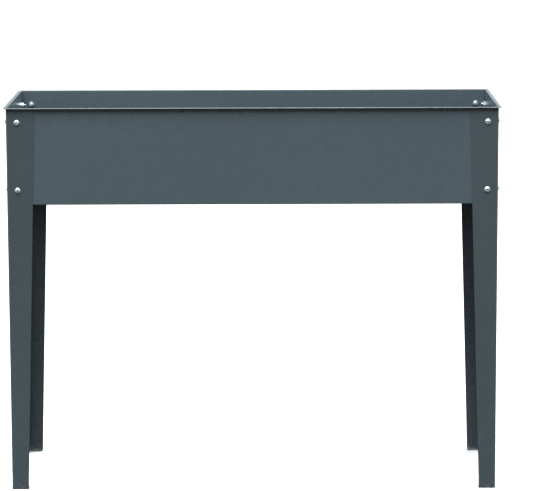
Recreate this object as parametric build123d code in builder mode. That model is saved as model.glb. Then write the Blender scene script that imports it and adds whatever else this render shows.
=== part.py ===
from build123d import *
import os

# Raised garden planter: a folded sheet-steel trough on four tapered angle legs, bolted with M6 screws and nuts.
# Millimetres. +X runs along the length, -Y is the front, +Z is up.
# The origin is on the ground under the middle of the trough.

# Overall sizes
length_over_legs = 1008.0
depth_over_legs = 348.0
total_height = 800.0
trough_height = 200.0

# Wall panels
wall_sheet = 0.8
fold_radius = 1.0
rim_overhang = 6.0
hem_width = 4.6
bottom_flange = 20.0
rim_corner_gap = 0.3
web_corner_gap = 1.5

# Legs
leg_sheet = 1.2
leg_width_top = 59.0
leg_width_foot = 34.0
leg_top_gap = 0.5
foot_tab_depth = 16.0
foot_tab_slit = 0.8
foot_fold_height = 3.0

# Floor tray, turned upside down so that its edges stand on the walls' flanges
floor_sheet = 0.8
floor_height = 12.0
floor_clearance = 1.5
floor_corner_notch = 3.0
drain_hole_diameter = 8.0
drain_columns = 9
drain_rows = 3
drain_pitch = 110.0

# Stiffeners under the floor
stiffener_sheet = 1.2
stiffener_top_width = 24.0
stiffener_base_width = 46.0
stiffener_offset = 165.0
stiffener_end_gap = 1.3

# Fasteners (M6)
screw_inset = 22.5
screw_pitch = 140.0
screw_hole_diameter = 6.5
shank_diameter = 5.9
shank_length = 12.0
shank_chamfer = 0.7
head_diameter = 12.0
head_height = 3.8
head_edge_height = 0.9
socket_across_flats = 4.0
socket_depth = 2.0
nut_across_flats = 10.0
nut_height = 5.0
nut_bore_diameter = 6.0
nut_chamfer = 0.5
turn_between_fasteners = 23.0

# Faces and positions that follow from them
leg_face_x = length_over_legs / 2
leg_face_y = depth_over_legs / 2
wall_face_x = leg_face_x - leg_sheet
wall_face_y = leg_face_y - leg_sheet
wall_bottom = total_height - trough_height
wall_middle = total_height - trough_height / 2
rim_reach = leg_sheet + rim_overhang
rim_underside = total_height - wall_sheet
leg_top = rim_underside - wall_sheet - leg_top_gap
flange_top = wall_bottom + wall_sheet
floor_top = flange_top + floor_height
floor_half_x = wall_face_x - wall_sheet - floor_clearance
floor_half_y = wall_face_y - wall_sheet - floor_clearance

os.makedirs("parts", exist_ok=True)


def write(piece, node):
    """Label a finished piece and save it under its node name."""
    piece.label = node
    export_step(piece, f"parts/{node}.step")


# Walls


def wall_panel(face_x, face_y):
    """A wall that faces -Y: outer face at y = -face_y, neighbours' outer faces at x = -face_x and face_x."""
    with BuildPart() as wall:
        with BuildSketch(Plane.YZ):
            with BuildLine():
                FilletPolyline(
                    (-face_y + bottom_flange, wall_bottom),
                    (-face_y, wall_bottom),
                    (-face_y, rim_underside),
                    (-face_y - rim_reach + wall_sheet, rim_underside),
                    radius=[fold_radius + wall_sheet, fold_radius],
                )
                offset(amount=wall_sheet, side=Side.RIGHT)
            make_face()
            # The rim's edge is folded back under itself as a hem
            with Locations((-face_y - rim_reach + wall_sheet, rim_underside)):
                Circle(wall_sheet)
                Rectangle(hem_width, wall_sheet, align=(Align.MIN, Align.MAX))
        extrude(amount=face_x + rim_reach, both=True)

        # The ends of the folds are mitred to meet the neighbouring walls
        rim_half = face_x + rim_reach - rim_corner_gap
        flange_half = face_x - bottom_flange - rim_corner_gap
        with BuildSketch():
            with BuildLine():
                Polyline(
                    (-rim_half, -face_y - rim_reach),
                    (rim_half, -face_y - rim_reach),
                    (flange_half, -face_y + bottom_flange),
                    (-flange_half, -face_y + bottom_flange),
                    close=True,
                )
            make_face()
        extrude(amount=total_height, mode=Mode.INTERSECT)

        # Below the rim the wall stops short of the fold in the leg
        with Locations((-face_x, -face_y, wall_bottom), (face_x, -face_y, wall_bottom)):
            Box(
                2 * web_corner_gap,
                2 * bottom_flange,
                trough_height - wall_sheet - fold_radius,
                align=(Align.CENTER, Align.CENTER, Align.MIN),
                mode=Mode.SUBTRACT,
            )

        with BuildSketch(Plane.XZ.offset(face_y)):
            with Locations((0, wall_middle)):
                with GridLocations(2 * (face_x + leg_sheet - screw_inset), screw_pitch, 2, 2):
                    Circle(screw_hole_diameter / 2)
        extrude(amount=wall_sheet, both=True, mode=Mode.SUBTRACT)
    return wall.part


long_wall = wall_panel(wall_face_x, wall_face_y)
end_wall = wall_panel(wall_face_y, wall_face_x)

write(long_wall, "front_panel")
write(long_wall.rotate(Axis.Z, 180), "rear_panel")
write(end_wall.rotate(Axis.Z, -90), "left_end_panel")
write(end_wall.rotate(Axis.Z, 90), "right_end_panel")


# Floor tray: two crossed channels, open at the bottom, with a notch at each corner for the folds

with BuildPart() as floor_panel:
    with BuildSketch(Plane.YZ):
        with BuildLine():
            FilletPolyline(
                (-floor_half_y, flange_top),
                (-floor_half_y, floor_top),
                (floor_half_y, floor_top),
                (floor_half_y, flange_top),
                radius=fold_radius + floor_sheet,
            )
            offset(amount=floor_sheet, side=Side.RIGHT)
        make_face()
    extrude(amount=floor_half_x - floor_corner_notch, both=True)
    with BuildSketch(Plane.XZ):
        with BuildLine():
            FilletPolyline(
                (-floor_half_x, flange_top),
                (-floor_half_x, floor_top),
                (floor_half_x, floor_top),
                (floor_half_x, flange_top),
                radius=fold_radius + floor_sheet,
            )
            offset(amount=floor_sheet, side=Side.RIGHT)
        make_face()
    extrude(amount=floor_half_y - floor_corner_notch, both=True)
    with BuildSketch(Plane.XY.offset(floor_top)):
        with GridLocations(drain_pitch, drain_pitch, drain_columns, drain_rows):
            Circle(drain_hole_diameter / 2)
    extrude(amount=floor_sheet, both=True, mode=Mode.SUBTRACT)
write(floor_panel.part, "floor_panel")


# Stiffeners: hat sections across the trough, between the floor and the walls' flanges

stiffener_underside = floor_top - floor_sheet - stiffener_sheet
stiffener_inner_x = stiffener_top_width / 2 - stiffener_sheet
with BuildPart() as stiffener:
    with BuildSketch(Plane.XZ):
        with BuildLine():
            FilletPolyline(
                (-stiffener_base_width / 2, flange_top),
                (-stiffener_inner_x, flange_top),
                (-stiffener_inner_x, stiffener_underside),
                (stiffener_inner_x, stiffener_underside),
                (stiffener_inner_x, flange_top),
                (stiffener_base_width / 2, flange_top),
                radius=[
                    fold_radius + stiffener_sheet,
                    fold_radius,
                    fold_radius,
                    fold_radius + stiffener_sheet,
                ],
            )
            offset(amount=stiffener_sheet, side=Side.LEFT)
        make_face()
    extrude(amount=floor_half_y - floor_sheet - stiffener_end_gap, both=True)

for node, side in (("left_floor_stiffener", -1), ("right_floor_stiffener", 1)):
    with BuildPart() as placed_stiffener:
        with Locations((side * stiffener_offset, 0, 0)):
            add(stiffener.part)
    write(placed_stiffener.part, node)


# Legs


def taper_corners(edge):
    """A leg's face seen square on: upright along the edge of the trough, narrower towards the foot."""
    return [
        (-edge, 0),
        (-edge + leg_width_foot, 0),
        (-edge + leg_width_top, leg_top),
        (-edge, leg_top),
    ]


with BuildPart() as front_left_leg:
    with BuildSketch():
        with BuildLine():
            FilletPolyline(
                (-leg_face_x + leg_width_top, -leg_face_y),
                (-leg_face_x, -leg_face_y),
                (-leg_face_x, -leg_face_y + leg_width_top),
                radius=fold_radius + leg_sheet,
            )
            offset(amount=leg_sheet, side=Side.RIGHT)
        make_face()
    extrude(amount=leg_top)

    # Foot: the bottom of the front face is folded in to make a tab that stands on the ground
    tab_start_x = -leg_face_x + leg_sheet + fold_radius
    with Locations((tab_start_x, -leg_face_y, 0)):
        Box(
            leg_width_top,
            2 * leg_sheet,
            foot_fold_height,
            align=(Align.MIN, Align.CENTER, Align.MIN),
            mode=Mode.SUBTRACT,
        )
    with BuildSketch(Plane.YZ.offset(tab_start_x + foot_tab_slit)):
        with BuildLine():
            FilletPolyline(
                (-leg_face_y, foot_fold_height),
                (-leg_face_y, 0),
                (-leg_face_y + foot_tab_depth, 0),
                radius=fold_radius + leg_sheet,
            )
            offset(amount=leg_sheet, side=Side.LEFT)
        make_face()
    extrude(amount=leg_width_foot)

    with BuildSketch(Plane.XZ):
        Polygon(*taper_corners(leg_face_x), align=None)
    extrude(amount=depth_over_legs, both=True, mode=Mode.INTERSECT)
    with BuildSketch(Plane.YZ):
        Polygon(*taper_corners(leg_face_y), align=None)
    extrude(amount=length_over_legs, both=True, mode=Mode.INTERSECT)

    with BuildSketch(Plane.XZ.offset(leg_face_y)):
        with Locations((-leg_face_x + screw_inset, wall_middle)):
            with GridLocations(1, screw_pitch, 1, 2):
                Circle(screw_hole_diameter / 2)
    extrude(amount=2 * leg_sheet, both=True, mode=Mode.SUBTRACT)
    with BuildSketch(Plane.YZ.offset(-leg_face_x)):
        with Locations((-leg_face_y + screw_inset, wall_middle)):
            with GridLocations(1, screw_pitch, 1, 2):
                Circle(screw_hole_diameter / 2)
    extrude(amount=2 * leg_sheet, both=True, mode=Mode.SUBTRACT)

with BuildPart() as front_right_leg:
    mirror(front_left_leg.part, about=Plane.YZ)

with BuildPart() as rear_left_leg:
    mirror(front_left_leg.part, about=Plane.XZ)

with BuildPart() as rear_right_leg:
    mirror(front_right_leg.part, about=Plane.XZ)

write(front_left_leg.part, "front_left_leg")
write(front_right_leg.part, "front_right_leg")
write(rear_left_leg.part, "rear_left_leg")
write(rear_right_leg.part, "rear_right_leg")


# Fasteners: a screw's head sits on the XY plane with the shank pointing down, and a nut hangs below the XY plane

with BuildPart() as screw:
    with BuildSketch(Plane.XZ):
        with BuildLine():
            Polyline(
                (0, head_height),
                (0, -shank_length),
                (shank_diameter / 2 - shank_chamfer, -shank_length),
                (shank_diameter / 2, -shank_length + shank_chamfer),
                (shank_diameter / 2, 0),
                (head_diameter / 2, 0),
                (head_diameter / 2, head_edge_height),
            )
            TangentArc((0, head_height), (head_diameter / 2, head_edge_height), tangent=(1, 0))
        make_face()
    revolve(axis=Axis.Z)
    with BuildSketch(Plane.XY.offset(head_height)):
        RegularPolygon(socket_across_flats / 2, 6, major_radius=False)
    extrude(amount=-socket_depth, mode=Mode.SUBTRACT)

with BuildPart() as nut:
    with BuildSketch():
        RegularPolygon(nut_across_flats / 2, 6, major_radius=False)
        Circle(nut_bore_diameter / 2, mode=Mode.SUBTRACT)
    extrude(amount=-nut_height)
    # The corners of both faces are turned down to a cone
    nut_corner = nut_across_flats / 3**0.5
    with BuildSketch(Plane.XZ):
        with BuildLine():
            Polyline(
                (0, 0),
                (nut_corner - 2 * nut_chamfer, 0),
                (nut_corner, -nut_chamfer),
                (nut_corner, -nut_height + nut_chamfer),
                (nut_corner - 2 * nut_chamfer, -nut_height),
                (0, -nut_height),
                close=True,
            )
        make_face()
    revolve(axis=Axis.Z, mode=Mode.INTERSECT)


def write_bolted_joint(x, y, outward, first_turn, name):
    """Two screws, one above the other, whose heads sit on a leg's outer face at (x, y), and their nuts."""
    seats = []
    for index, height in enumerate((-screw_pitch / 2, screw_pitch / 2)):
        face = Plane((x, y, wall_middle + height), x_dir=(0, 0, 1), z_dir=outward)
        seats.append(face.location * Rotation(0, 0, first_turn + index * turn_between_fasteners))
    with BuildPart() as screws:
        with Locations(*seats):
            add(screw.part)
    write(screws.part, f"{name}_screws")
    with BuildPart() as nuts:
        with Locations(*[seat * Pos(0, 0, -leg_sheet - wall_sheet) for seat in seats]):
            add(nut.part)
    write(nuts.part, f"{name}_nuts")


# Each leg is bolted to a long wall and to an end wall
turn = 0.0
for end, side_x in (("left", -1), ("right", 1)):
    for long_side, side_y in (("front", -1), ("rear", 1)):
        write_bolted_joint(
            side_x * (leg_face_x - screw_inset),
            side_y * leg_face_y,
            (0, side_y, 0),
            turn,
            f"{long_side}_panel_{end}",
        )
        write_bolted_joint(
            side_x * leg_face_x,
            side_y * (leg_face_y - screw_inset),
            (side_x, 0, 0),
            turn + 2 * turn_between_fasteners,
            f"{end}_end_panel_{long_side}",
        )
        turn += 4 * turn_between_fasteners
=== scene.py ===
import math
import bmesh
import bpy
from mathutils import Matrix, Vector


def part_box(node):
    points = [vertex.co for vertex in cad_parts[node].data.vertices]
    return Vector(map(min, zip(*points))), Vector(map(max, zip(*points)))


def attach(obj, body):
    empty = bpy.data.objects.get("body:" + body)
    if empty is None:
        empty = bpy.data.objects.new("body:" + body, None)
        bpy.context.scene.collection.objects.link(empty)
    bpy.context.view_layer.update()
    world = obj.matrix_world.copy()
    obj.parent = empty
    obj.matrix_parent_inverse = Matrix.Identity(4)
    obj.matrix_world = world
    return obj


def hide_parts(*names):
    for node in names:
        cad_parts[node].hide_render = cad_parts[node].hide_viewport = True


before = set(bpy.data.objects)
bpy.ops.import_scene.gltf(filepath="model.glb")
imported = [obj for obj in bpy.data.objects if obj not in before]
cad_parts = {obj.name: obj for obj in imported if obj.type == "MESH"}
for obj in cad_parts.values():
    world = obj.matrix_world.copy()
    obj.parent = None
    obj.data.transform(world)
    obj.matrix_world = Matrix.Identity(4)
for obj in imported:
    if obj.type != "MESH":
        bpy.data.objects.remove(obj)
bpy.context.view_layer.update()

# Looks of the raised planter: powder-coated sheet steel, zinc-plated M6 screws and nuts, a plain studio.
# Metres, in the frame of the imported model: +X along the length, -Y the front, +Z up.

# Camera: a long lens in front of the planter and above it.
# Angles are in radians, lens and sensor in millimetres.
camera_side = 0.0461
camera_distance = 5.6035
camera_height = 1.41
camera_pitch = -0.16342
camera_yaw = 0.00006
camera_roll = -0.0030
camera_lens = 175.02
sensor_width = 36.0
clip_near = 0.1
clip_far = 200.0

# Suns: angles in degrees, with azimuth 0 at the front and 90 at the right.
# Each fill has a strength and an azimuth.
key_strength = 11.2
key_azimuth = -12.0
key_elevation = 68.0
key_spread = 60.0
fill_elevation = 38.0
fill_spread = 40.0
fill_lights = {"left_fill": (2.6, -95.0), "right_fill": (2.6, 95.0), "back_fill": (5.0, 160.0)}

# Surroundings: brightness against the sine of the angle above the horizon
horizon_light = 1.0
zenith_light = 0.12
bounce_light = 0.08
horizon_end = 0.14
zenith_start = 0.42
bounce_start = -0.05

# Studio floor
floor_size = 80.0
floor_squares = 8
floor_greys = (0.375, 0.39)
floor_roughness = 0.9
floor_reflection = 0.1

# Noise patterns: about how many blobs to the metre, detail and roughness
patterns = {
    "cloud": (2.6, 3.0, 0.5),
    "mottle": (45.0, 4.0, 0.6),
    "waves": (5.0, 1.0, 0.5),
    "peel": (420.0, 2.0, 0.45),
    "grain": (2600.0, 1.0, 0.5),
    "chips": (170.0, 4.0, 0.65),
    "dust": (14.0, 5.0, 0.6),
    "tint": (120.0, 3.0, 0.5),
    "speckle": (1800.0, 3.0, 0.6),
    "scratch": (5200.0, 2.0, 0.7),
    "floor": (0.8, 4.0, 0.5),
}
pattern_shift = (1.7, 2.9, 4.3)
soft_patches = (0.35, 0.65)
broad_patches = (0.3, 0.7)

# Powder coat
wall_colour = (0.0435, 0.0620, 0.0722)
leg_colour = (0.0345, 0.0477, 0.0545)
# The tray's darker colour is painted shade: the same coat darkened against the strong overhead light on its
# upward face
tray_colour_with_painted_shade = (0.0260, 0.0365, 0.0420)
coat_shine = 0.4
tray_shine = 0.12
coat_ior = 1.5
tone_spread = 0.04
cloud_share = 0.6
gloss_patches = (0.2, 0.8)
coat_roughness = (0.26, 0.29)
wave_height = 0.0006
peel_height = 0.000012
grain_height = 0.000004

# Wear and dust on the coat; a cover is the share hidden between the patches and in them
worn_colour = (0.110, 0.126, 0.134)
rub_width = 0.0035
rub_cover = (0.15, 0.75)
scuff_height = 0.020
scuff_patches = (0.5, 0.65)
scuff_cover = (0.0, 0.8)
wear_strength = 0.7
dust_colour = (0.20, 0.19, 0.17)
dust_slopes = (0.6, 0.98)
dust_patches = (0.3, 0.75)
dust_cover = (0.03, 0.08)
dulling = 0.8
wear_dulling = 0.15

# Zinc plating
zinc_colours = ((0.46, 0.57, 0.61), (0.54, 0.62, 0.62))
speckle_colour = (0.39, 0.44, 0.45)
speckle_patches = (0.45, 0.75)
speckle_cover = (0.0, 0.25)
# Grime and painted shade: the zinc in the recesses is darkened towards near black by their depth
grime_and_shade_colour = (0.10, 0.10, 0.10)
grime_and_shade_patches = (0.2, 0.7)
grime_and_shade_cover = (0.65, 0.95)
grime_dulling = 0.3
zinc_roughness = (0.30, 0.42)
zinc_metallic = 0.75
speckle_height = 0.00001
scratch_height = 0.000003

# Cut edges of the sheets
edge_rounding = 0.00022
rounded_angle = math.radians(50)
sheet_weld = 0.000001

# Fasteners (M6)
head_radius = 0.006
head_height = 0.0038
head_edge_height = 0.0009
head_rounding = 0.0002
head_foot = 0.0003
socket_radius = 0.002 / math.cos(math.pi / 6)
socket_depth = 0.002
socket_mouth = 0.00025
socket_widening = 0.12
socket_cone = 0.0005
socket_corner = 0.0001
thread_radius = 0.00295
thread_depth = 0.00055
thread_pitch = 0.001
thread_flank = 1.25
rows_per_turn = 8
shank_length = 0.012
shank_chamfer = 0.0007
unthreaded = 0.001
nut_height = 0.005
nut_flat_radius = 0.005
nut_chamfer_radius = 0.0048
nut_chamfer_slope = math.tan(math.radians(30))
nut_bore_radius = 0.003
nut_countersink = 0.00045
turn_between_fasteners = math.radians(23)
columns = 48
dome_steps = 9
rounding_steps = 4
sharp_angle = math.radians(32)
fastener_weld = 1e-7


# Camera and studio


def add_camera():
    """The camera looks along +Y and a little down."""
    data = bpy.data.cameras.new("camera")
    data.lens = camera_lens
    data.sensor_width = sensor_width
    data.clip_start = clip_near
    data.clip_end = clip_far
    camera = bpy.data.objects.new("camera", data)
    turn = Matrix.Rotation(camera_yaw, 4, "Z") @ Matrix.Rotation(math.pi / 2 + camera_pitch, 4, "X")
    camera.matrix_world = (
        Matrix.Translation((camera_side, -camera_distance, camera_height))
        @ turn
        @ Matrix.Rotation(camera_roll, 4, "Z")
    )
    bpy.context.scene.collection.objects.link(camera)
    bpy.context.scene.camera = camera


def add_sun(name, strength, azimuth, elevation, spread, reflected):
    """A broad soft light from that direction, which shows in reflections or doesn't."""
    data = bpy.data.lights.new(name, "SUN")
    data.energy = strength
    data.angle = math.radians(spread)
    light = bpy.data.objects.new(name, data)
    light.rotation_euler = (math.radians(90 - elevation), 0, math.radians(azimuth))
    light.visible_glossy = reflected
    bpy.context.scene.collection.objects.link(light)


def add_world():
    """A studio sweep all round: white above the horizon, dim overhead, and a little light from below."""
    world = bpy.data.worlds.new("studio")
    world.use_nodes = True
    tree = world.node_tree
    background = tree.nodes["Background"]
    direction = tree.nodes.new("ShaderNodeTexCoord").outputs["Generated"]
    height = axes(tree, direction)["Z"]
    upper = ramp(tree, height, horizon_end, zenith_start, horizon_light, zenith_light)
    lower = ramp(tree, height, bounce_start, 0.0, bounce_light, horizon_light)
    tree.links.new(maths(tree, "MINIMUM", upper, lower), background.inputs["Strength"])
    background.inputs["Color"].default_value = (1, 1, 1, 1)
    bpy.context.scene.world = world


# Shader nodes


def new_material(name):
    """A node material, with its tree, its shader and the object's own coordinates in metres."""
    material = bpy.data.materials.new(name)
    material.use_nodes = True
    tree = material.node_tree
    shader = tree.nodes["Principled BSDF"]
    place = tree.nodes.new("ShaderNodeTexCoord").outputs["Object"]
    return material, tree, shader, place


def maths(tree, operation, first, second):
    """One Math node; either input may be a number or another node's output."""
    node = tree.nodes.new("ShaderNodeMath")
    node.operation = operation
    for socket, value in zip(node.inputs, (first, second)):
        if isinstance(value, bpy.types.NodeSocket):
            tree.links.new(value, socket)
        else:
            socket.default_value = value
    return node.outputs[0]


def times(tree, first, second):
    return maths(tree, "MULTIPLY", first, second)


def plus(tree, first, second):
    return maths(tree, "ADD", first, second)


def axes(tree, vector):
    """The X, Y and Z outputs of a vector."""
    node = tree.nodes.new("ShaderNodeSeparateXYZ")
    tree.links.new(vector, node.inputs[0])
    return node.outputs


def pattern(tree, place, kind):
    """One of the noise patterns, from 0 to 1."""
    scale, detail, roughness = patterns[kind]
    node = tree.nodes.new("ShaderNodeTexNoise")
    node.inputs["Scale"].default_value = scale
    node.inputs["Detail"].default_value = detail
    node.inputs["Roughness"].default_value = roughness
    tree.links.new(place, node.inputs["Vector"])
    return node.outputs[0]


def ramp(tree, value, low, high, to_low=0.0, to_high=1.0):
    """A smooth step of the value: to_low at low, to_high at high."""
    node = tree.nodes.new("ShaderNodeMapRange")
    node.interpolation_type = "SMOOTHSTEP"
    node.inputs["From Min"].default_value = low
    node.inputs["From Max"].default_value = high
    node.inputs["To Min"].default_value = to_low
    node.inputs["To Max"].default_value = to_high
    tree.links.new(value, node.inputs["Value"])
    return node.outputs["Result"]


def mix(tree, share, first, second):
    """A colour mix; first and second may be colours or other nodes' outputs."""
    node = tree.nodes.new("ShaderNodeMix")
    node.data_type = "RGBA"
    tree.links.new(share, node.inputs["Factor"])
    for name, value in (("A", first), ("B", second)):
        socket = [s for s in node.inputs if s.name == name and s.type == "RGBA"][0]
        if isinstance(value, bpy.types.NodeSocket):
            tree.links.new(value, socket)
        else:
            socket.default_value = (*value, 1)
    return [s for s in node.outputs if s.type == "RGBA"][0]


def relief(tree, layers):
    """The normal of bumps laid over each other; a layer is a pattern and its height in metres."""
    normal = None
    for shape, height in layers:
        node = tree.nodes.new("ShaderNodeBump")
        node.inputs["Distance"].default_value = height
        tree.links.new(shape, node.inputs["Height"])
        if normal is not None:
            tree.links.new(normal, node.inputs["Normal"])
        normal = node.outputs["Normal"]
    return normal


def shifted(tree, place, seed):
    """The same coordinates moved far away, so that each material has its own pattern."""
    node = tree.nodes.new("ShaderNodeVectorMath")
    node.operation = "ADD"
    node.inputs[1].default_value = [step * seed for step in pattern_shift]
    tree.links.new(place, node.inputs[0])
    return node.outputs[0]


def edge_distance(tree, place, edge):
    """Distance over the surface from an edge that lies that far out on two axes; its own axis is None."""
    distance = 0.0
    for reach, position in zip(edge, axes(tree, place)):
        if reach is not None:
            out = maths(tree, "ABSOLUTE", position, 0.0)
            distance = plus(tree, maths(tree, "SUBTRACT", reach, out), distance)
    return distance


# Materials


def powder_coat(name, seed, base_colour, shine, edge):
    """Slate grey satin powder coat: fine orange peel, slight waves of the sheet, dust and light wear."""
    material, tree, shader, place = new_material(name)
    own = shifted(tree, place, seed)

    # Tone
    mottle = pattern(tree, own, "mottle")
    cloud = times(tree, pattern(tree, own, "cloud"), cloud_share)
    patches = plus(tree, cloud, times(tree, mottle, 1 - cloud_share))
    dark = [c * (1 - tone_spread) for c in base_colour]
    light = [c * (1 + tone_spread) for c in base_colour]
    colour = mix(tree, ramp(tree, patches, *soft_patches), dark, light)

    # Rubbed along the outer edge, and scuffed near the ground
    chips = pattern(tree, own, "chips")
    at_edge = ramp(tree, edge_distance(tree, place, edge), 0.0, rub_width, 1.0, 0.0)
    at_ground = ramp(tree, axes(tree, place)["Z"], 0.0, scuff_height, 1.0, 0.0)
    rubbed = times(tree, at_edge, ramp(tree, chips, *soft_patches, *rub_cover))
    scuffed = times(tree, at_ground, ramp(tree, chips, *scuff_patches, *scuff_cover))
    wear = maths(tree, "MAXIMUM", rubbed, scuffed)
    colour = mix(tree, times(tree, wear, wear_strength), colour, worn_colour)

    # Dust settles on what faces up, in patches
    normal = tree.nodes.new("ShaderNodeNewGeometry").outputs["Normal"]
    facing_up = ramp(tree, axes(tree, normal)["Z"], *dust_slopes)
    dust = times(tree, facing_up, ramp(tree, pattern(tree, own, "dust"), *dust_patches, *dust_cover))
    tree.links.new(mix(tree, dust, colour, dust_colour), shader.inputs["Base Color"])

    # Gloss, less where the coat is dusty or worn
    satin = ramp(tree, mottle, *gloss_patches, *coat_roughness)
    dull = times(tree, plus(tree, dust, times(tree, wear, wear_dulling)), dulling)
    tree.links.new(plus(tree, satin, dull), shader.inputs["Roughness"])
    shader.inputs["IOR"].default_value = coat_ior
    shader.inputs["Specular IOR Level"].default_value = shine

    heights = {"waves": wave_height, "peel": peel_height, "grain": grain_height}
    layers = [(pattern(tree, own, kind), height) for kind, height in heights.items()]
    tree.links.new(relief(tree, layers), shader.inputs["Normal"])
    return material


def zinc_plate(name, seed):
    """Bright zinc plating with a faint blue and green tint, fine scratches, and grime with painted shade
    darkening the recesses.
    """
    material, tree, shader, place = new_material(name)
    own = shifted(tree, place, seed)
    speckle = pattern(tree, own, "speckle")
    scratch = pattern(tree, own, "scratch")
    colour = mix(tree, ramp(tree, pattern(tree, own, "tint"), *soft_patches), *zinc_colours)
    colour = mix(tree, ramp(tree, speckle, *speckle_patches, *speckle_cover), colour, speckle_colour)
    # Painted shade with grime: the zinc turns near black by how deep in a recess it lies
    recess = tree.nodes.new("ShaderNodeAttribute")
    recess.attribute_name = "recess"
    grime_and_shade = times(tree, recess.outputs["Fac"], ramp(tree, speckle, *grime_and_shade_patches, *grime_and_shade_cover))
    tree.links.new(mix(tree, grime_and_shade, colour, grime_and_shade_colour), shader.inputs["Base Color"])
    shiny = ramp(tree, speckle, *broad_patches, *zinc_roughness)
    tree.links.new(plus(tree, shiny, times(tree, grime_and_shade, grime_dulling)), shader.inputs["Roughness"])
    shader.inputs["Metallic"].default_value = zinc_metallic
    layers = [(speckle, speckle_height), (scratch, scratch_height)]
    tree.links.new(relief(tree, layers), shader.inputs["Normal"])
    return material


def floor_paint():
    """Matt pale studio floor with a barely visible unevenness."""
    material, tree, shader, place = new_material("studio_floor")
    shade = pattern(tree, place, "floor")
    greys = [(grey, grey, grey) for grey in floor_greys]
    colour = mix(tree, ramp(tree, shade, *broad_patches), *greys)
    tree.links.new(colour, shader.inputs["Base Color"])
    shader.inputs["Roughness"].default_value = floor_roughness
    shader.inputs["Specular IOR Level"].default_value = floor_reflection
    return material


# Meshes


def add_mesh(name, mesh, material):
    """Finish a bmesh as an object with that material."""
    bmesh.ops.recalc_face_normals(mesh, faces=mesh.faces)
    data = bpy.data.meshes.new(name)
    mesh.to_mesh(data)
    mesh.free()
    data.materials.append(material)
    piece = bpy.data.objects.new(name, data)
    bpy.context.scene.collection.objects.link(piece)
    return piece


def join_rings(mesh, rings, recess):
    """Skin a stack of rings of points, each with its depth of recess; a ring may be a single point."""
    layer = mesh.verts.layers.float.new("recess")
    made = []
    for points, depth in zip(rings, recess):
        verts = [mesh.verts.new(p) for p in points]
        for v in verts:
            v[layer] = depth
        made.append(verts)
    for lower, upper in zip(made, made[1:]):
        for i in range(columns):
            j = (i + 1) % columns
            below = [lower[i % len(lower)], lower[j % len(lower)]]
            above = [upper[j % len(upper)], upper[i % len(upper)]]
            mesh.faces.new(list(dict.fromkeys(below + above)))


def hexagon_radius(angle, corner_radius):
    """Distance from the middle of a hexagon to its outline at that angle; a corner is at angle 0."""
    from_flat = (angle % (math.pi / 3)) - math.pi / 6
    return corner_radius * math.cos(math.pi / 6) / math.cos(from_flat)


def ring(radius, height):
    """A ring of points; radius may be a function of the angle, and height one of the angle and radius."""
    points = []
    for i in range(columns):
        angle = 2 * math.pi * i / columns
        r = radius(angle) if callable(radius) else radius
        z = height(angle, r) if callable(height) else height
        points.append(Vector((r * math.cos(angle), r * math.sin(angle), z)))
    return points


def dome(radius):
    """Height of the screw head's dome at that distance from its axis."""
    rise = head_height - head_edge_height
    ball = (head_radius**2 + rise**2) / (2 * rise)
    return head_height - ball + math.sqrt(max(ball**2 - radius**2, 0))


def screw_rings():
    """A screw's surface from the bottom of its socket, over the head and down the thread to its tip."""
    socket_floor = head_height - socket_depth
    rings = [[Vector((0, 0, socket_floor - socket_cone))]]
    recess = [1.0]

    def add(radius, height, depth=0.0):
        rings.append(ring(radius, height))
        recess.append(depth)

    def socket(scale):
        return lambda angle: hexagon_radius(angle, socket_radius * scale)

    # The last number is how deep in a recess the ring lies, from 0 to 1; grime and painted shade darken the
    # zinc there
    add(socket(0.55), socket_floor - 0.4 * socket_cone, 1.0)
    add(socket(0.97), socket_floor, 1.0)
    add(socket(1.0), socket_floor + socket_corner, 1.0)
    add(socket(1.0), head_height - socket_depth / 2, 1.0)
    add(socket(1.0), head_height - 2 * socket_mouth, 0.8)
    add(socket(1.0 + socket_widening / 2), lambda angle, r: dome(r) - 0.5 * socket_mouth, 0.4)
    add(socket(1.0 + socket_widening), lambda angle, r: dome(r))

    # The dome, from the socket's hexagon to the round edge
    inner = socket_radius * (1.0 + socket_widening)
    outer = head_radius - head_rounding
    for step in range(1, dome_steps + 1):
        share = step / dome_steps
        add(
            lambda angle: (1 - share) * hexagon_radius(angle, inner) + share * outer,
            lambda angle, r: dome(r),
        )
    for step in range(1, rounding_steps + 1):
        bend = math.pi / 2 * step / rounding_steps
        add(
            head_radius - head_rounding * (1 - math.sin(bend)),
            dome(outer) - head_rounding * (1 - math.cos(bend)),
        )

    # The head's lower edge and its face on the sheet
    add(head_radius, head_foot)
    add(head_radius - head_foot / 3, head_foot / 3)
    add(head_radius - head_foot, 0.0, 0.3)
    add(thread_radius, 0.0, 0.8)

    # The thread is a helix cut into the shank
    step_height = thread_pitch / rows_per_turn
    rows = round((shank_length - unthreaded) / step_height)
    for row in range(rows + 1):
        z = -unthreaded - row * step_height
        add(lambda angle: thread_surface(angle, z), z, 0.25)
    rings.append([Vector((0, 0, -shank_length))])
    recess.append(0.2)
    return rings, recess


def thread_surface(angle, z):
    """Radius of the threaded shank: sharp roots, flat crests, runs out at the head, chamfered at the tip."""
    turn = (z / thread_pitch + angle / (2 * math.pi)) % 1.0
    crest = min(1.0, thread_flank * (1 - abs(2 * turn - 1)))
    depth = thread_depth * min(1.0, (-z - unthreaded) / thread_pitch)
    radius = thread_radius - depth * (1 - crest)
    return min(radius, thread_radius - shank_chamfer + (z + shank_length))


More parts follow.
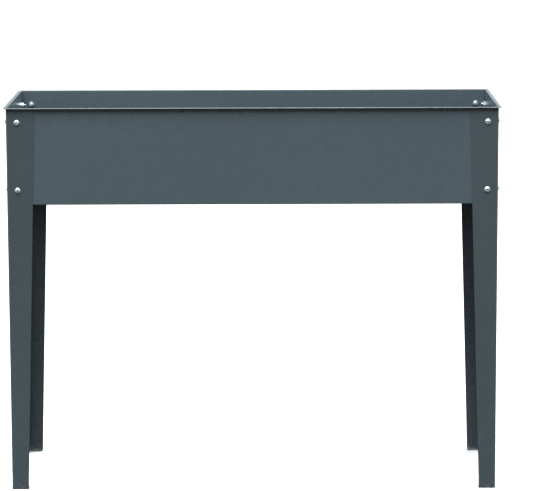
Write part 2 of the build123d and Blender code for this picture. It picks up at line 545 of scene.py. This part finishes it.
def nut_rings():
    """A nut's surface: out over one face, along the flats, in over the other, back through the bore."""
    corner = nut_flat_radius / math.cos(math.pi / 6)
    half_height = nut_height / 2
    face_middle = 0.6 * nut_chamfer_radius + 0.4 * nut_bore_radius
    rings, recess = [], []

    def outline(angle):
        return hexagon_radius(angle, corner)

    def fall(r):
        return max(0.0, r - nut_chamfer_radius) * nut_chamfer_slope

    def chamfer(side):
        return lambda angle, r: side * (half_height - fall(r))

    for side in (-1, 1):
        # The third number is how deep in a recess the ring lies; grime and painted shade darken the zinc
        # there
        outwards = [
            (nut_bore_radius, side * (half_height - nut_countersink), 0.7),
            (nut_bore_radius + nut_countersink, side * half_height, 0.2),
            (face_middle, side * half_height, 0.0),
            (nut_chamfer_radius, side * half_height, 0.0),
            (outline, chamfer(side), 0.0),
        ]
        stations = outwards if side == -1 else outwards[::-1]
        for radius, height, depth in stations:
            rings.append(ring(radius, height))
            recess.append(depth)
    rings.append(rings[0])
    recess.append(recess[0])
    return rings, recess


def outer_edge(node):
    """How far out a sheet's most exposed edge lies on each axis, with None for its longest axis."""
    low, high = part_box(node)
    size = list(high - low)
    edge = [max(abs(a), abs(b)) for a, b in zip(low, high)]
    edge[size.index(max(size))] = None
    return edge


def round_cut_edges(sheet):
    """The coat rounds the cut edges of the sheet a little."""
    weld = sheet.modifiers.new("weld", "WELD")
    weld.merge_threshold = sheet_weld
    rounding = sheet.modifiers.new("rounding", "BEVEL")
    rounding.width = edge_rounding
    rounding.segments = 2
    rounding.limit_method = "ANGLE"
    rounding.angle_limit = rounded_angle
    rounding.harden_normals = True


def place_fasteners(node, rings, recess, seats, material):
    """One piece for a CAD node: a fastener at each seat. A seat is a point, an outward direction, a turn."""
    mesh = bmesh.new()
    for point, outward, turn in seats:
        single = bmesh.new()
        join_rings(single, rings, recess)
        bmesh.ops.remove_doubles(single, verts=single.verts, dist=fastener_weld)
        upright = Matrix.Rotation(turn, 4, outward) @ outward.to_track_quat("Z", "X").to_matrix().to_4x4()
        single.transform(Matrix.Translation(point) @ upright)
        part = bpy.data.meshes.new("part")
        single.to_mesh(part)
        single.free()
        mesh.from_mesh(part)
        bpy.data.meshes.remove(part)
    piece = add_mesh("detailed_" + node, mesh, material)
    for face in piece.data.polygons:
        face.use_smooth = True
    piece.data.set_sharp_from_angle(angle=sharp_angle)
    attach(piece, "root")
    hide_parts(node)


def screw_seats(node, first_turn):
    """Where a node's two screws sit, with their heads on the side away from the middle of the planter."""
    low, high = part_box(node)
    middle = (low + high) / 2
    if "end_panel" in node:
        outward = Vector((math.copysign(1, middle.x), 0, 0))
    else:
        outward = Vector((0, math.copysign(1, middle.y), 0))
    along = Vector((abs(outward.x), abs(outward.y), 0))
    tip = middle - outward * (high - low).dot(along) / 2
    seats = []
    for index, z in enumerate((low.z + head_radius, high.z - head_radius)):
        point = tip + outward * shank_length
        point.z = z
        seats.append((point, outward, first_turn + index * turn_between_fasteners))
    return seats


def nut_seats(node, seats):
    """The screws' seats moved along their axes to the middle of the nuts."""
    low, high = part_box(node)
    middle = (low + high) / 2
    moved = []
    for point, outward, turn in seats:
        moved.append((point - outward * (point - middle).dot(outward), outward, turn))
    return moved


# Build

bpy.context.scene.view_settings.view_transform = "Standard"
add_camera()
add_world()
add_sun("key_light", key_strength, key_azimuth, key_elevation, key_spread, True)
for light, (strength, azimuth) in fill_lights.items():
    add_sun(light, strength, azimuth, fill_elevation, fill_spread, False)

# The studio floor shows only to the camera
floor_mesh = bmesh.new()
bmesh.ops.create_grid(floor_mesh, x_segments=floor_squares, y_segments=floor_squares, size=floor_size / 2)
floor = add_mesh("studio_floor", floor_mesh, floor_paint())
floor.visible_diffuse = False
floor.visible_glossy = False
floor.visible_shadow = False

sheet_nodes = sorted(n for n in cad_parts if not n.endswith(("_screws", "_nuts")))
for seed, node in enumerate(sheet_nodes, start=1):
    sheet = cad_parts[node]
    sheet.data.materials.clear()
    # The floor tray takes the darker coat colour, painted shade against the overhead light on its top
    if "floor" in node:
        colour, shine = tray_colour_with_painted_shade, tray_shine
    elif node.endswith("_leg"):
        colour, shine = leg_colour, coat_shine
    else:
        colour, shine = wall_colour, coat_shine
    sheet.data.materials.append(powder_coat("powder_coat_" + node, seed, colour, shine, outer_edge(node)))
    round_cut_edges(sheet)

screw_zinc = zinc_plate("zinc_screws", 1)
nut_zinc = zinc_plate("zinc_nuts", 2)
screw_shape = screw_rings()
nut_shape = nut_rings()
joints = sorted(n[: -len("_screws")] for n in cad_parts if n.endswith("_screws"))
for order, joint in enumerate(joints):
    seats = screw_seats(joint + "_screws", 2 * order * turn_between_fasteners)
    place_fasteners(joint + "_screws", *screw_shape, seats, screw_zinc)
    place_fasteners(joint + "_nuts", *nut_shape, nut_seats(joint + "_nuts", seats), nut_zinc)

bpy.context.view_layer.update()
